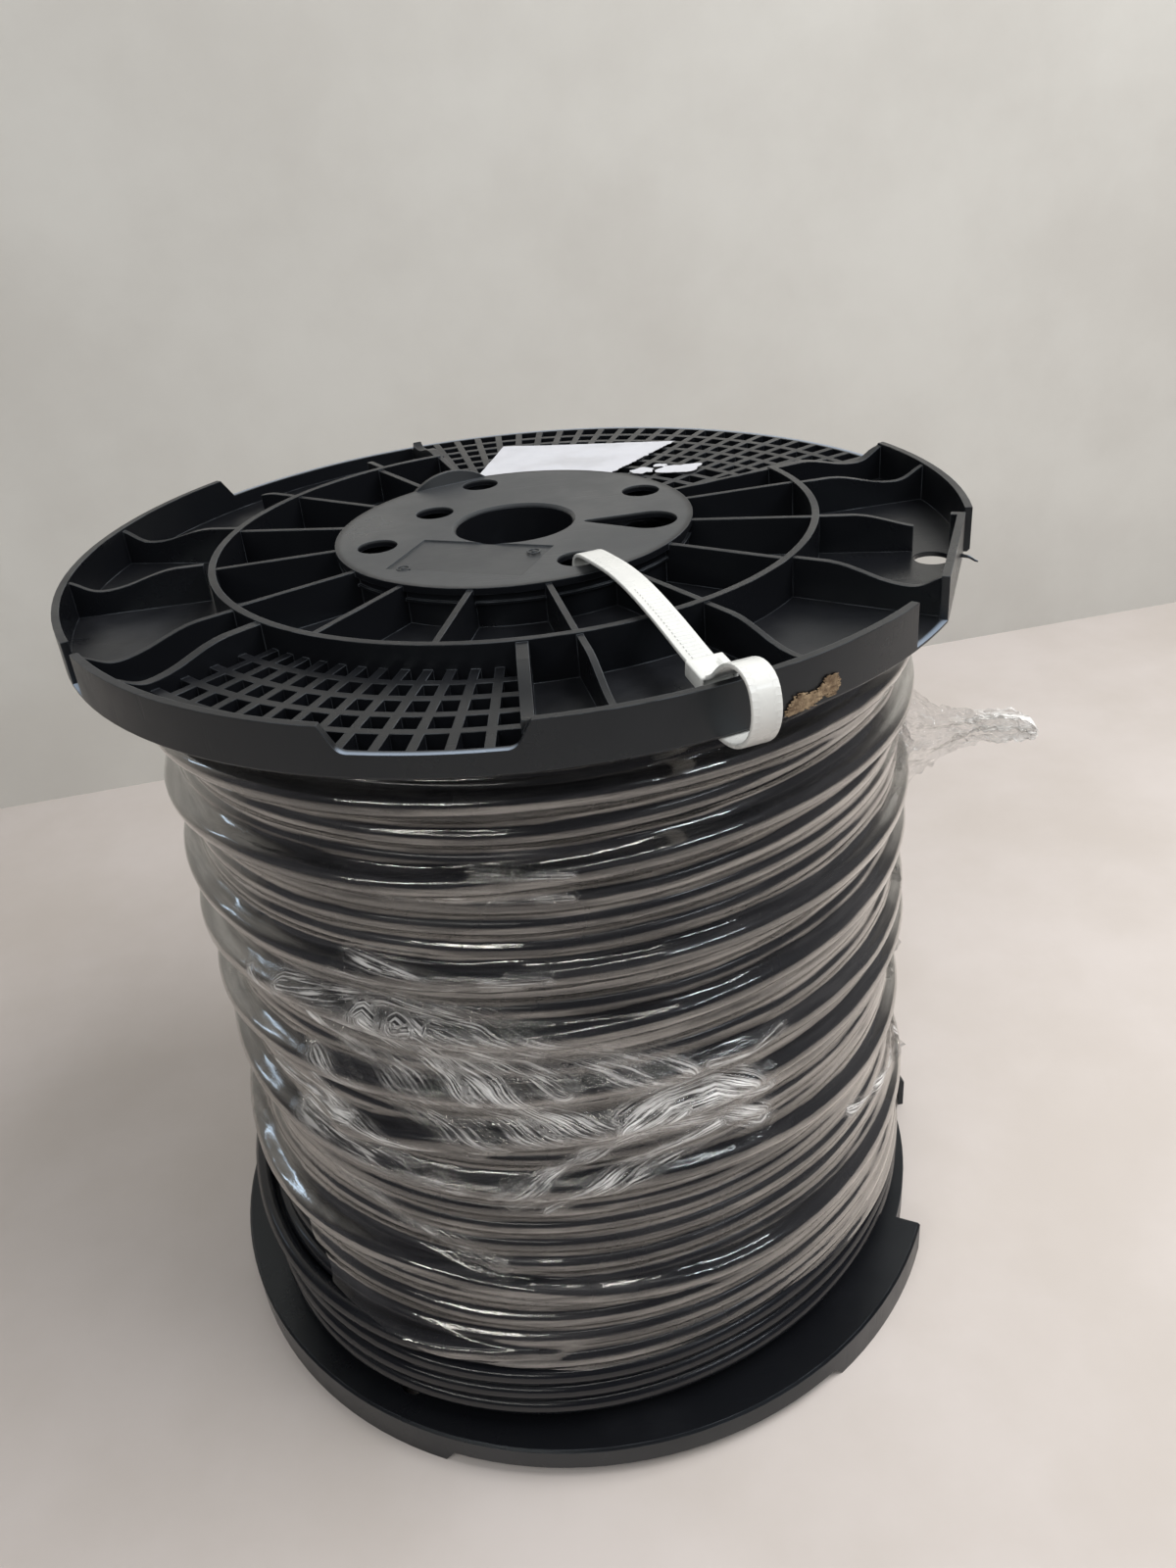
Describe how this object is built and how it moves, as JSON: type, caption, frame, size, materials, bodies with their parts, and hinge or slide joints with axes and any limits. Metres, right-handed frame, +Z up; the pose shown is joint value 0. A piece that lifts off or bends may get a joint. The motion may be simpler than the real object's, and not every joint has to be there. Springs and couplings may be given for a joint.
{
  "type": "plastic cable drum",
  "caption": "Ribbed plastic cable drum standing on one flange, wound full of black cable, wrapped in clear film, with a cable tie and a blank label.",
  "frame": {"origin": "centre of the bore axis on the floor, under the bottom flange", "axes": "+Z up along the bore axis, -Y towards the viewer of the reference picture"},
  "size_m": [0.4468, 0.4289, 0.4194],
  "materials": {
    "black_plastic": "satin moulded",
    "cable_jacket": "glossy extruded",
    "clear_film": "clear wrinkled",
    "white_nylon": "translucent white",
    "paper": "matt paper"
  },
  "bodies": {
    "root": {"top_flange": "black_plastic", "bottom_flange": "black_plastic", "drum_barrel": "black_plastic", "cable_winding": "cable_jacket", "stretch_film": "clear_film", "cable_tie": "white_nylon", "paper_label": "paper"}
  },
  "joints": []
}
